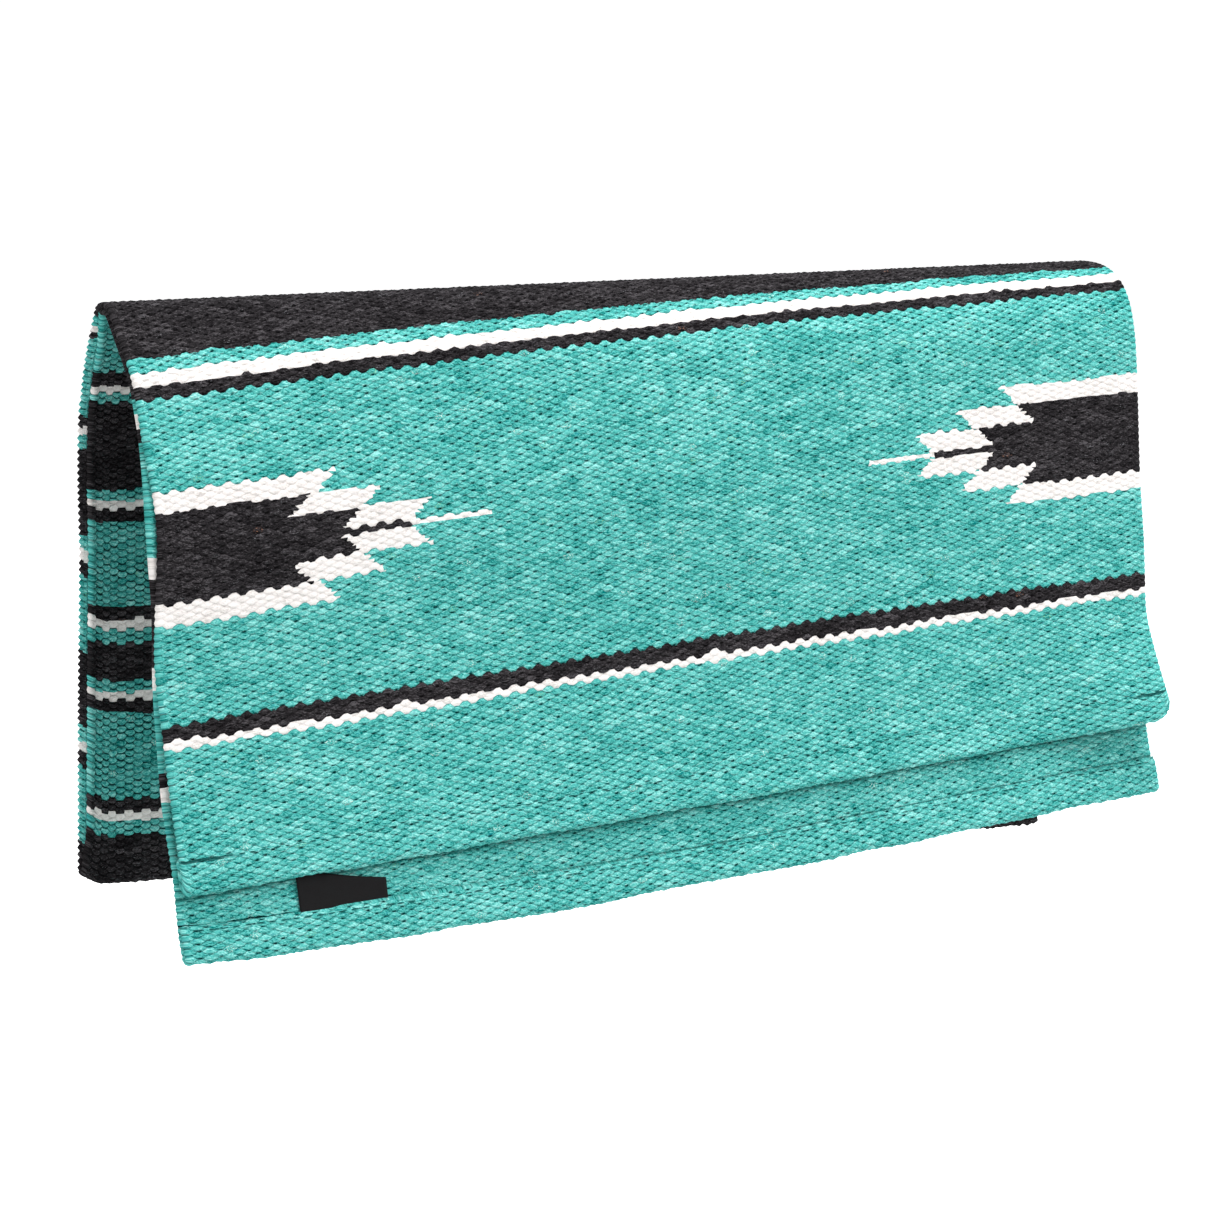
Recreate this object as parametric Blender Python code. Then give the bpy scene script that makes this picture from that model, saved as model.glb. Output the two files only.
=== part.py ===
"""A woven saddle blanket: one long sheet folded double and hung over a rail.

The outer layer runs from its hem at the front, over the ridge and down the back. There the sheet
folds, and the inner layer runs back up under it, over the ridge and down the front, where its hem
hangs lower. X runs along the ridge, from the near end to the far end, the front is at -Y, and the
origin is under the ridge at mid width, where the rail or the horse's back carries the blanket.

A place on the blanket is given by how far it is from the near end, how far down the drape it is
from the crest (positive down the front, negative down the back), and how deep it lies under the
outer face of the outer layer.
"""

import math

import bmesh
import bpy
import numpy as np
from mathutils import Vector

# Driving dimensions, in metres: the cloth
width = 0.864
cloth = 0.0045
clearance = 0.0003

# The drape, along the cloth from the crest, at the near end and at the far end
front_drop = (0.4515, 0.412)
back_drop = (0.457, 0.4935)
inner_overhang = (0.048, 0.0545)
inner_belly = 0.0072
belly_lean = 0.7
front_hinge_drop = 0.100
back_hinge_drop = 0.100

# The turns of the drape: how many degrees each tilts the cloth, where it starts and how long it runs
near_front_degrees = (46.1, 22.1, 22.6, -19.1)
near_front_starts = (0, 0.061, 0.113, 0.2355)
near_front_runs = (0.018, 0.027, 0.1325, 0.1625)
far_front_degrees = (64.1, 20.9, -12.6)
far_front_starts = (0, 0.058, 0.356)
far_front_runs = (0.091, 0.066, 0.075)
back_degrees = (60.8, 26.7)
back_starts = (0, 0.033)
back_runs = (0.018, 0.103)

# The hems, the bottom fold and the curled far corner
hem_height = 0.028
hem_flare_start = 0.095
hem_flare_run = 0.100
near_corner_radius = 0.007
far_corner_radius = 0.016
far_curl_reach = 0.027
far_curl_width = 0.120
far_curl_height = 0.101

# The thread, and the label with its height at its near and at its far edge
thread_width = 0.0012
thread_height = 0.0008
thread_inset = 0.0035
label_width = 0.072
label_height = (0.036, 0.023)
label_thickness = 0.0008
label_near_distance = 0.085

# How finely the cloth is divided: rows down the drape, and columns along the ridge
integration_step = 0.001
front_row_count = 16
hem_row_count = 4
tail_row_count = 2
ridge_front_row_count = 8
ridge_bend_row_count = 5
ridge_back_row_count = 4
back_row_count = 10
roll_step_count = 6
middle_column_count = 8
corner_shares = (0.0, 0.3, 1.0)
label_column_count = 3
label_row_count = 6
sharp_degrees = 40

# Derived sizes
roll_radius = cloth + clearance / 2
layer_depth = cloth + clearance
label_room = label_thickness + 2 * clearance
hem_stand_off = layer_depth + label_room - clearance
ridge_lift = cloth + layer_depth
front_bend_drop = near_front_runs[0]
back_bend_drop = back_runs[0]
hinge_proud = 2 * clearance
label_tuck = (hem_height - roll_radius) / hem_row_count

# Colours, and how rough each surface is
front_teal = (0.098, 0.366, 0.332, 1.0)
band_black = (0.024, 0.022, 0.026, 1.0)
thread_teal = (0.040, 0.190, 0.170, 1.0)
wool_roughness = 0.95
label_roughness = 0.6


def clear_scene():
    for item in list(bpy.data.objects):
        bpy.data.objects.remove(item, do_unlink=True)


def smooth(share):
    """0 before 0, 1 after 1 and an even swing between them."""
    share = np.clip(share, 0, 1)
    return share * share * (3 - 2 * share)


def between(pair, distance):
    """A size that runs evenly from its value at the near end to its value at the far end."""
    return pair[0] + (pair[1] - pair[0]) * distance / width


def turned(degrees, starts, runs, drop):
    """The tilt of the cloth, in radians below level, at that drop from the crest."""
    turns = zip(degrees, starts, runs)
    return sum(math.radians(angle) * smooth((drop - start) / run) for angle, start, run in turns)


drape_lines = {}


def drape_line(distance, front):
    """Drops, tilts and the outer face's Y and Z for one line down the front or the back."""
    key = (round(distance / integration_step, 3), front)
    if key not in drape_lines:
        longest = inner_end(distance) if front else between(back_drop, distance)
        drops = np.arange(0, longest + 2 * integration_step, integration_step)
        if front:
            near = turned(near_front_degrees, near_front_starts, near_front_runs, drops)
            far = turned(far_front_degrees, far_front_starts, far_front_runs, drops)
            tilts = near + (far - near) * distance / width
        else:
            tilts = turned(back_degrees, back_starts, back_runs, drops)
        side = -1 if front else 1
        middles = (tilts[1:] + tilts[:-1]) / 2
        out = np.concatenate([[0], np.cumsum(np.cos(middles))]) * integration_step * side
        down = np.concatenate([[0], np.cumsum(np.sin(middles))]) * integration_step
        drape_lines[key] = (drops, tilts, out, ridge_lift - down)
    return drape_lines[key]


def place(distance, drop, depth):
    """The point at that distance from the near end, drop from the crest and depth in the cloth."""
    front = drop >= 0
    drops, tilts, ys, zs = drape_line(distance, front)
    tilt = np.interp(abs(drop), drops, tilts)
    side = -1 if front else 1
    y = np.interp(abs(drop), drops, ys) - depth * side * math.sin(tilt)
    z = np.interp(abs(drop), drops, zs) - depth * math.cos(tilt)
    return Vector((distance - width / 2, y, z))


def corner_rise(distance):
    """How much shorter the outer front hangs where its hem's corners are rounded."""
    near = max(0, near_corner_radius - distance)
    far = max(0, far_corner_radius - (width - distance))
    return (
        near_corner_radius
        - math.sqrt(near_corner_radius**2 - near**2)
        + far_corner_radius
        - math.sqrt(far_corner_radius**2 - far**2)
    )


def outer_end(distance):
    """How far down the outer front's hem reaches."""
    return between(front_drop, distance) - corner_rise(distance)


def inner_end(distance):
    """How far down the inner front's hem reaches. It bellies down most in its nearer half."""
    belly = inner_belly * math.sin(math.pi * (distance / width) ** belly_lean)
    return between(front_drop, distance) + between(inner_overhang, distance) + belly


def far_curl(distance, drop):
    """How far the outer front's far bottom corner curls outward."""
    along = smooth((distance - (width - far_curl_width)) / far_curl_width)
    down = smooth((drop - (between(front_drop, distance) - far_curl_height)) / far_curl_height)
    return far_curl_reach * along * down


def inner_depth(distance, drop):
    """How deep the inner layer's outer face lies: under the outer layer, and clear of its hem."""
    start = between(front_drop, distance) - hem_height - hem_flare_start - hem_flare_run
    return layer_depth + hem_stand_off * smooth((drop - start) / hem_flare_run)


def evenly(start, end, steps):
    return [start + (end - start) * k / steps for k in range(steps + 1)]


def columns():
    """Distances from the near end of the lines down the cloth, closer together at the corners."""
    near = [near_corner_radius * share for share in corner_shares]
    far = [width - far_corner_radius * share for share in reversed(corner_shares)]
    curl = [width - far_curl_width, width - (far_curl_width + far_corner_radius) / 2]
    middle = evenly(near[-1], curl[0], middle_column_count)[1:-1]
    return near + middle + curl + far


def join_rows(*parts):
    """Rows of drops in a line, where each part starts at the last one's end."""
    rows = list(parts[0])
    for part in parts[1:]:
        rows += part[1:]
    return rows


def front_panel_rows(distance):
    """The drops that the outer and the inner front panel share."""
    end = outer_end(distance)
    return join_rows(
        evenly(front_hinge_drop + clearance / 2, end - hem_height, front_row_count),
        evenly(end - hem_height, end - roll_radius, hem_row_count),
    )


def inner_tail_drops(distance):
    """The drops of the inner front panel below the outer hem."""
    start, end = outer_end(distance) - roll_radius, inner_end(distance)
    return join_rows(
        evenly(start, end - hem_height, tail_row_count),
        evenly(end - hem_height, end - roll_radius, hem_row_count),
    )


def ridge_rows():
    """The drops across the ridge, from the back hinge over the crest to the front hinge."""
    back = -back_hinge_drop + clearance / 2
    return join_rows(
        evenly(back, -back_bend_drop, ridge_back_row_count),
        evenly(-back_bend_drop, 0, ridge_bend_row_count),
        evenly(0, front_bend_drop, ridge_bend_row_count),
        evenly(front_bend_drop, front_hinge_drop - clearance / 2, ridge_front_row_count),
    )


def back_panel_rows(distance):
    """The drops down the back, from its hinge to where the bottom fold starts."""
    top = -back_hinge_drop - clearance / 2
    bottom = roll_radius - between(back_drop, distance)
    return evenly(top, bottom, back_row_count)


def fabric(name, colour, roughness=wool_roughness):
    material = bpy.data.materials.new(name)
    material.use_nodes = True
    shader = material.node_tree.nodes["Principled BSDF"]
    shader.inputs["Base Color"].default_value = colour
    shader.inputs["Roughness"].default_value = roughness
    shader.inputs["Metallic"].default_value = 0
    return material


def ribbon(name, distances, outer, inner, material, pivot):
    """A closed solid of cloth between an outer and an inner line of places in each column.

    outer and inner give equally many (drop, depth) places for a distance from the near end. Both
    faces are divided along the same diagonals, so layers that follow each other stay parallel.
    """
    mesh = bmesh.new()
    outside = [[place(d, *at) for at in outer(d)] for d in distances]
    inside = [[place(d, *at) for at in inner(d)] for d in distances]
    top = [[mesh.verts.new(point - pivot) for point in line] for line in outside]
    under = [[mesh.verts.new(point - pivot) for point in line] for line in inside]

    def quad(a, b, c, d):
        mesh.faces.new((a, b, c))
        mesh.faces.new((a, c, d))

    last_column, last_row = len(top) - 1, len(top[0]) - 1
    for i in range(last_column):
        for j in range(last_row):
            quad(top[i][j], top[i + 1][j], top[i + 1][j + 1], top[i][j + 1])
            quad(under[i][j], under[i + 1][j], under[i + 1][j + 1], under[i][j + 1])
        for j in (0, last_row):
            quad(top[i][j], top[i + 1][j], under[i + 1][j], under[i][j])
    for i in (0, last_column):
        for j in range(last_row):
            quad(top[i][j], top[i][j + 1], under[i][j + 1], under[i][j])
    bmesh.ops.recalc_face_normals(mesh, faces=mesh.faces)
    data = bpy.data.meshes.new(name)
    mesh.to_mesh(data)
    mesh.free()
    data.materials.append(material)
    data.shade_smooth()
    data.set_sharp_from_angle(angle=math.radians(sharp_degrees))
    item = bpy.data.objects.new(name, data)
    item.location = pivot
    bpy.context.collection.objects.link(item)
    return item


def roll(start, depth, radius):
    """Half a turn of places, from that depth at that drop, round the bottom of a fold."""
    sign = 1 if start >= 0 else -1
    centre = depth + radius
    return [
        (start + sign * abs(radius) * math.sin(a), centre - radius * math.cos(a))
        for a in evenly(0, math.pi, roll_step_count)
    ]


def hinge_axis(drop):
    """The near and far points of a hinge line, just proud of the outer face."""
    return place(0, drop, -hinge_proud), place(width, drop, -hinge_proud)


def hinge_pivot(drop):
    near, far = hinge_axis(drop)
    return (near + far) / 2


def flat_layer(rows, top, thickness):
    """The outer and inner lines of a layer whose outer face lies at depth top."""

    def outer(distance):
        return [(drop, top(distance, drop)) for drop in rows(distance)]

    def inner(distance):
        return [(drop, top(distance, drop) + thickness) for drop in rows(distance)]

    return outer, inner


def outer_depth(distance, drop):
    """The outer layer's outer face is at depth 0, and rises at the curled corner."""
    return -far_curl(distance, drop) if drop > 0 else 0


def ridge_layer_depth(distance, drop):
    return layer_depth


def add_ridge():
    """Both layers over the ridge: what the rail or the horse's spine carries."""
    still = Vector((0, 0, 0))
    black = fabric("ridge_black_weave", band_black)

    def rows(distance):
        return ridge_rows()

    ribbon("outer_ridge", columns(), *flat_layer(rows, outer_depth, cloth), black, still)
    under = fabric("inner_ridge_weave", band_black)
    ribbon("inner_ridge", columns(), *flat_layer(rows, ridge_layer_depth, cloth), under, still)


def add_front_panels():
    pivot = hinge_pivot(front_hinge_drop)
    outer_weave = fabric("outer_front_weave", front_teal)
    outer_lines = flat_layer(front_panel_rows, outer_depth, cloth)
    ribbon("outer_front_panel", columns(), *outer_lines, outer_weave, pivot)

    def inner_rows(distance):
        return join_rows(front_panel_rows(distance), inner_tail_drops(distance))

    inner_weave = fabric("inner_front_weave", front_teal)
    inner_lines = flat_layer(inner_rows, inner_depth, cloth)
    ribbon("inner_front_panel", columns(), *inner_lines, inner_weave, pivot)


def strip_drops(end):
    """The drops of a turned hem's strip, from the roll up to its edge, as on the panel behind it."""
    return evenly(end - roll_radius, end - hem_height, hem_row_count)[1:]


def add_outer_hem():
    """The outer layer's end, rolled inward and up behind its own face."""

    def line(top_depth, radius, strip_depth):
        def places(distance):
            end = outer_end(distance)
            lift = far_curl(distance, end - roll_radius)
            turned_up = roll(end - roll_radius + clearance, top_depth - lift, radius)
            drops = strip_drops(end)
            return turned_up + [(drop, strip_depth - far_curl(distance, drop)) for drop in drops]

        return places

    outer = line(0, roll_radius, 2 * roll_radius)
    inner = line(cloth, clearance / 2, layer_depth)
    pivot = hinge_pivot(front_hinge_drop)
    ribbon("outer_front_hem", columns(), outer, inner, fabric("outer_hem_weave", front_teal), pivot)


def add_inner_hem():
    """The inner layer's end, rolled outward and up over its own face, with the label under it."""

    def line(top_depth, radius, strip_lift, edge_lift):
        def places(distance):
            end = inner_end(distance)
            face = inner_depth(distance, end)
            turned_up = roll(end - roll_radius + clearance, face + top_depth, radius)
            *strip, tuck, edge = strip_drops(end)
            lifted = [(drop, face - edge_lift) for drop in (tuck, edge)]
            return turned_up + [(drop, face - strip_lift) for drop in strip] + lifted

        return places

    outer = line(cloth, -roll_radius, layer_depth, layer_depth)
    inner = line(0, -clearance / 2, clearance, label_room)
    pivot = hinge_pivot(front_hinge_drop)
    ribbon("inner_front_hem", columns(), outer, inner, fabric("inner_hem_weave", front_teal), pivot)


def add_stitching():
    """One row of thread along each hem, close to its turned edge."""
    pivot = hinge_pivot(front_hinge_drop)
    thread = fabric("hem_thread", thread_teal)
    corners = len(corner_shares) - 1
    distances = columns()[corners:-corners]

    def row(end, top):
        def rows(distance):
            middle = end(distance) - hem_height + thread_inset
            return evenly(middle - thread_width / 2, middle + thread_width / 2, 1)

        return flat_layer(rows, top, thread_height)

    def over_outer(distance, drop):
        return outer_depth(distance, drop) - clearance - thread_height

    def over_inner(distance, drop):
        return inner_depth(distance, drop) - layer_depth - clearance - thread_height

    ribbon("outer_hem_stitching", distances, *row(outer_end, over_outer), thread, pivot)
    ribbon("inner_hem_stitching", distances, *row(inner_end, over_inner), thread, pivot)


def add_label():
    """A plain woven label, caught a little askew under the inner hem's turned edge."""

    def rows(distance):
        low = inner_end(distance) - hem_height + label_tuck
        share = (distance - label_near_distance) / label_width
        height = label_height[0] + (label_height[1] - label_height[0]) * share
        return evenly(low - height, low, label_row_count)

    def top(distance, drop):
        return inner_depth(distance, drop) - clearance - label_thickness

    near = label_near_distance
    distances = evenly(near, near + label_width, label_column_count)
    black = fabric("label_black", band_black, label_roughness)
    pivot = hinge_pivot(front_hinge_drop)
    ribbon("woven_label", distances, *flat_layer(rows, top, label_thickness), black, pivot)


def add_back():
    """Both layers down the back, and the fold that joins them at the bottom."""
    pivot = hinge_pivot(-back_hinge_drop)
    weave = fabric("outer_back_weave", front_teal)
    lining = fabric("inner_back_weave", front_teal)
    outer_lines = flat_layer(back_panel_rows, outer_depth, cloth)
    ribbon("outer_back_panel", columns(), *outer_lines, weave, pivot)
    inner_lines = flat_layer(back_panel_rows, ridge_layer_depth, cloth)
    ribbon("inner_back_panel", columns(), *inner_lines, lining, pivot)

    def fold(depth, radius):
        def line(distance):
            start = roll_radius - between(back_drop, distance) - clearance
            return roll(start, depth, radius)

        return line

    outer, inner = fold(0, roll_radius), fold(cloth, clearance / 2)
    ribbon("bottom_fold", columns(), outer, inner, fabric("fold_weave", band_black), pivot)


def main():
    clear_scene()
    add_ridge()
    add_front_panels()
    add_outer_hem()
    add_inner_hem()
    add_stitching()
    add_label()
    add_back()
    for name, drop in (("front_hinge", front_hinge_drop), ("back_hinge", -back_hinge_drop)):
        near, far = hinge_axis(drop)
        axis = (far - near).normalized()
        print(name, [round(v, 5) for v in (near + far) / 2], [round(v, 6) for v in axis])


main()
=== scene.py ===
"""The looks of a woven saddle blanket, folded double and draped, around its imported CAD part.

A place on the cloth is its distance from the near end, its drop from the crest (positive down the
front, negative down the back) and its depth under the outer layer's outer face, as in the CAD. Each
layer is a closed mesh whose seen face carries the weave: ribs run down the drape, and floats of yarn
cross them in brick order. Sizes are in metres, and colours are sRGB values from 0 to 255.
"""

import math

import bpy
import numpy as np
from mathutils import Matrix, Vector


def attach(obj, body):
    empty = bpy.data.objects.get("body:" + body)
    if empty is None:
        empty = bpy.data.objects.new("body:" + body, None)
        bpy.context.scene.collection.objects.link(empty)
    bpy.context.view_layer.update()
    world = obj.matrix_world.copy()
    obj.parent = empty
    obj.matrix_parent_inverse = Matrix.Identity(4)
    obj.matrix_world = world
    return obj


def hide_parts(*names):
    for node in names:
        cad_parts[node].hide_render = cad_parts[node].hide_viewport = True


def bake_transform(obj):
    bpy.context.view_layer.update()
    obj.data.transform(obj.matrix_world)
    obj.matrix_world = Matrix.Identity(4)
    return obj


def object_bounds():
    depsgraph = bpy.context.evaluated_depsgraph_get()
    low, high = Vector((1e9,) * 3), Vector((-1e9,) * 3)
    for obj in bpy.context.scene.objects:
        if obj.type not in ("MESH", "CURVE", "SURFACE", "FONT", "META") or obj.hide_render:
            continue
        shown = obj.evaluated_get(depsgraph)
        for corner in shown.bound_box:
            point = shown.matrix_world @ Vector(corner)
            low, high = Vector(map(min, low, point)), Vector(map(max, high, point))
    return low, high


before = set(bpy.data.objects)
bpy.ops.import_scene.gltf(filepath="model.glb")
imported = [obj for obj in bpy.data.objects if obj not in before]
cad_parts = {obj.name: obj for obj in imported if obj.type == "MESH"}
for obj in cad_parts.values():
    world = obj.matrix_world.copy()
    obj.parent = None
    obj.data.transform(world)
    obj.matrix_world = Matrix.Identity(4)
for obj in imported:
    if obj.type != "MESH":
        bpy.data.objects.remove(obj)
cad_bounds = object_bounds()

# The cloth and its drape, as in the CAD, at the near end and at the far end
width = 0.864
cloth = 0.0045
clearance = 0.0003
front_drop = (0.4515, 0.412)
back_drop = (0.457, 0.4935)
inner_overhang = (0.048, 0.0545)
inner_belly = 0.0072
belly_lean = 0.7
hinge_drop = 0.100
blend_reach = 0.045

# The turns of the drape: how many degrees each tilts the cloth, where it starts and how long it runs
near_front_turns = (
    (46.1, 0, 0.018), (22.1, 0.061, 0.027), (22.6, 0.113, 0.1325), (-19.1, 0.2355, 0.1625),
)
far_front_turns = ((64.1, 0, 0.091), (20.9, 0.058, 0.066), (-12.6, 0.356, 0.075))
back_turns = ((60.8, 0, 0.018), (26.7, 0.033, 0.103))
table_step = 0.001
table_reach = (-0.520, 0.560)
table_columns = 61

# The hems, the corners, the label and the thread, as in the CAD
hem_height = 0.028
hem_flare_start = 0.095
hem_flare_run = 0.100
corner_radii = (0.007, 0.016)
corner_fade = 0.035
far_curl_reach = 0.027
far_curl_width = 0.120
far_curl_height = 0.101
label_width = 0.072
label_height = (0.036, 0.023)
label_thickness = 0.0008
label_near_distance = 0.085
thread_inset = 0.0035

# Derived sizes
middle_depth = cloth / 2
roll_radius = cloth + clearance / 2
roll_middle_radius = roll_radius - middle_depth
layer_depth = cloth + clearance
label_room = label_thickness + 2 * clearance
hem_stand_off = layer_depth + label_room - clearance
ridge_lift = cloth + layer_depth

# The weave: ribs a little wider apart at the near end, and four rows of mesh to a float of yarn
rib_count = 125
rib_spread = 0.030
edge_rib_loss = 0.40
row_height = 0.0013125
rows_per_float = 4
seam_row = 342
roll_steps = 9
outer_strip_steps = 9
hidden_columns = 20
dense_height = 0.110
strip_edge = 0.006
strip_thinning = 0.5
row_origin = 1000
edge_place = 0.3

# The relief of a float on its rib's crest, from its middle row to the gap, and of its tips beside it
crest_relief = (0.00052, 0.00024, -0.00100, 0.00024)
tip_relief = -0.00045
groove_relief = -0.00095
tip_reach = 0.00170
column_groove = -0.00130
column_reach = 0.00050
selvedge_bead = 0.00050
back_selvedge_bead = 0.00120
bead_profile = np.array([1, 0.2, -1, 0.2])
edge_gap_share = 0.5
float_rise_spread = 0.00012
float_slide_spread = 0.00045
float_lean_spread = 0.00045
vertex_spread = 0.00010

# How the cloth departs from its plain drape: bulges of both layers, and wandering ribs and rows. A
# wave is its length along the ridge and down the drape, where it starts in each, and its draw
sway_depth = 0.0016
sway_start = 0.09
sway_wave = (0.16, 0.12, 3.1, 7.7, 1)
sway_ripple = (0.055, 0.20, 1.3, 2.9, 2)
sway_wave_share = 0.65
wander_along = 0.0009
wander_down = 0.0010
rib_wave = (0.05, 0.06, 5.5, 1.5, 3)
row_wave = (0.04, 0.02, 9.5, 4.5, 4)

# How far each layer's near edge stands out, as size, middle and half run down the front, and how
# far the inner layer's stays back under the outer layer's on the back, clear of ridge and fold
outer_bumps = ((-0.0024, 0.180, 0.060), (0.0020, 0.285, 0.060))
inner_bumps = ((0.0038, 0.191, 0.085), (0.0025, 0.400, 0.080), (0.0038, 0.480, 0.060))
near_fade = 0.030
back_inset = 0.0048
inset_run = 0.050
fold_rise = 0.0085
fold_rise_reach = 0.025

# Swings of the weft rows above the hem, as size, start and run: a bow, and a skew between the ends.
# They fade out down the back
bow_swings = ((0.0056, 0, 0.200),)
skew_swings = ((0.0058, 0.120, 0.200), (0.0040, 0.355, 0.050))
sag_fading = 1.2

# How much of a float's height a stripe's edge follows, low and high on the blanket
scallop_heights = (0.150, 0.330)
scallop_shares = (0.95, 0.65)
scallop_spread = 0.35
scallop_jitter = 0.0008

# A float's shade: the size of its streaks and patches, their shares and its own, and the chances of
# the edge ribs' floats, which have no odd fibres
streak_length = 0.020
streak_pace = 0.37
streak_start = 0.01
patch_length = 0.050
patch_rows = 18
streak_shade = 0.45
patch_shade = 0.20
float_shade = 0.30
edge_chance_low = 0.02
edge_chance_spread = 0.3

# Yarns, and the stripes of each layer from its hem up: yarn and height
teal, black, white = 0, 1, 2
outer_stripes = (
    (teal, 0.1066), (white, 0.0054), (black, 0.0114), (teal, 0.2340), (black, 0.0099),
    (white, 0.0104), (teal, 0.0124), (black, 0.0794), (teal, 0.0080), (white, 0.0045),
    (black, 0.0060), (teal, 0.0655), (black, 0.0085), (white, 0.0065), (teal, 0.0105),
    (black, 0.0665), (teal, 0.0095), (white, 0.0090), (black, 0.0110), (teal, 0.0585),
    (black, 0.0580), (teal, 0.0115), (white, 0.0075), (black, 0.0115), (teal, 0.0585),
    (black, 0.0700),
)
inner_stripes = (
    (teal, 0.1202), (white, 0.0075), (black, 0.0095), (teal, 0.2360), (black, 0.0099),
    (white, 0.0104), (teal, 0.0124), (black, 0.0991), (teal, 0.0619), (black, 0.0110),
    (white, 0.0060), (teal, 0.0085), (black, 0.0689), (teal, 0.0085), (white, 0.0065),
    (black, 0.0090), (teal, 0.0655), (black, 0.0105), (white, 0.0065), (teal, 0.0105),
    (black, 0.0300), (teal, 0.0085), (white, 0.0065), (black, 0.0090), (teal, 0.0665),
    (black, 0.0110), (white, 0.0065), (teal, 0.0110), (black, 0.0700),
)

# The stepped arrowhead at each end, near and far: its middle above the hem, and for each of its
# tiers from the middle out, how far its white and its black reach from the blanket's end
arrow_tiers = 3
arrow_middle = (0.2427, 0.2406)
arrow_white = ((0.2055, 0.1655, 0.1290), (0.2005, 0.1595, 0.1180))
arrow_black = ((0.1474, 0.1070, 0), (0.1415, 0.1025, 0))
arrow_spike = (0.2715, 0.2590)
arrow_bar = (0.2050, 0.2005)
arrow_core = 0.0016
arrow_scallop_share = 0.65
arrow_spike_share = 0.25
arrow_bar_half = 0.0025
arrow_tier = 0.0152
arrow_slant = 0.0165

# Painted shade: dark lines where thread presses into the cloth, over the inner hem's strip, fading
# from the near end, and along the outer hem's thread near both ends. And a painted shadow of the
# outer hem on the inner layer, under the hem's edge
shade_line_half = 0.0016
shade_line_edge = 0.0010
shade_line_rise = 0.0006
shade_line_fading = 0.45
stitch_line_shade = 0.85
hem_edge_shadow = 0.60
shade_line_near = 0.030
shade_line_far = 0.040
shade_line_run = 0.020

# The label: how far from the CAD's it lies, its mesh, how it is caught and leans. Then the stitches
label_shift = 0.0066
label_lines = (49, 25)
label_tuck = 0.006
label_rise = 0.0009
label_lean = 0.0006
label_lean_start = 0.3
stitch_pitch = 0.0095
stitch_start = 0.8
stitch_length = 0.0056
stitch_radius = 0.0005
stitch_sunk = 0.0002
stitch_taper = 0.04
stitch_rings = 7
stitch_sides = 8

# The camera, in metres, degrees and millimetres
camera_place = (-1.7294, -3.0752, 0.2772)
camera_yaw = 29.154
camera_pitch = 8.4045
camera_lens = 136.4
sensor_width = 36

# The floor and the soft lights: name, place, size and power
pure_white = (1.0, 1.0, 1.0, 1.0)
floor_colour = (0.80, 0.80, 0.80, 1.0)
floor_roughness = 0.9
floor_glow = 0.78
floor_fall = 0.10
floor_reach = 80
light_aim = (0, -0.08, -0.22)
world_light = 0.32
soft_lights = (
    ("key", (1.0, -2.2, 2.4), 1.5, 47),
    ("fill", (2.6, -1.8, 0.8), 2.0, 38),
    ("side", (-2.7, -1.3, 0.3), 1.5, 22),
    ("top", (0.2, -0.2, 2.6), 2.0, 74),
    ("back", (-0.6, 2.6, 1.0), 2.2, 30),
)

# Random numbers: the seed, the size of their tables, and the draw of each use
seed = 11
table_rows = 2048
noise_cells = 256
rise_draw, point_rise_draw, lean_draw, point_lean_draw, slide_draw = range(21, 26)
streak_draw, patch_draw, tone_draw, chance_draw, share_draw, jitter_draw = range(31, 37)
second_draw = 100


def smooth(share):
    """0 before 0, 1 after 1 and an even swing between them."""
    share = np.clip(share, 0, 1)
    return share * share * (3 - 2 * share)


def between(pair, distance):
    """A size that runs evenly from its value at the near end to its value at the far end."""
    return pair[0] + (pair[1] - pair[0]) * distance / width


def swung(swings, value):
    """The sum of even swings, each of a size, a start and a run."""
    return sum(size * smooth((value - start) / run) for size, start, run in swings)


def inside_cell(table, i, j, across, up):
    """A value between a table's four places at i and i + 1 and at j and j + 1."""
    bottom = table[i, j] * (1 - across) + table[i + 1, j] * across
    top = table[i, j + 1] * (1 - across) + table[i + 1, j + 1] * across
    return bottom * (1 - up) + top * up


def value_noise(x, y, draw):
    """Smooth noise from -1 to 1 whose waves are about one unit long."""
    grid = np.random.default_rng(seed + draw).uniform(-1, 1, (noise_cells + 1, noise_cells + 1))
    left, low = np.floor(x).astype(int), np.floor(y).astype(int)
    return inside_cell(grid, left % noise_cells, low % noise_cells, smooth(x - left), smooth(y - low))


def waves(wave, distance, drop):
    """Smooth noise over the cloth, in waves of that length and start."""
    long, high, start, top, draw = wave
    return value_noise(distance / long + start, drop / high + top, draw)


def chance(draw, row, column):
    """A random number from 0 to 1 that is the same wherever a row and a column meet."""
    table = np.random.default_rng(seed + draw).uniform(0, 1, (table_rows, 2 * rib_count + 2))
    return table[row % table_rows, column % table.shape[1]]


def normal(draw, row, column):
    """A random number like chance's, but spread about 0 with a deviation of 1."""
    return (chance(draw, row, column) + chance(draw + second_draw, row, column) - 1) * math.sqrt(6)


# Drape

table_drops = np.arange(table_reach[0], table_reach[1] + table_step / 2, table_step)
table_distances = np.linspace(0, width, table_columns)


def turned(turns, drop):
    """The tilt of the cloth, in radians below level, at that drop from the crest."""
    return np.radians(swung(turns, drop))


def drape_tables():
    """Tilt, Y and Z of the outer face for each tabled distance and drop. The back tilts backward."""
    front = table_drops >= 0
    back_tilt = -turned(back_turns, -table_drops)
    near = np.where(front, turned(near_front_turns, table_drops), back_tilt)
    far = np.where(front, turned(far_front_turns, table_drops), back_tilt)
    tilt = near + (far - near) * (table_distances / width)[:, None]
    crest = int(np.argmin(abs(table_drops)))

    def along(slope):
        middles = (slope[:, 1:] + slope[:, :-1]) / 2 * table_step
        total = np.concatenate([np.zeros((len(slope), 1)), np.cumsum(middles, axis=1)], axis=1)
        return total - total[:, crest : crest + 1]

    return tilt, -along(np.cos(tilt)), ridge_lift - along(np.sin(tilt))


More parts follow.
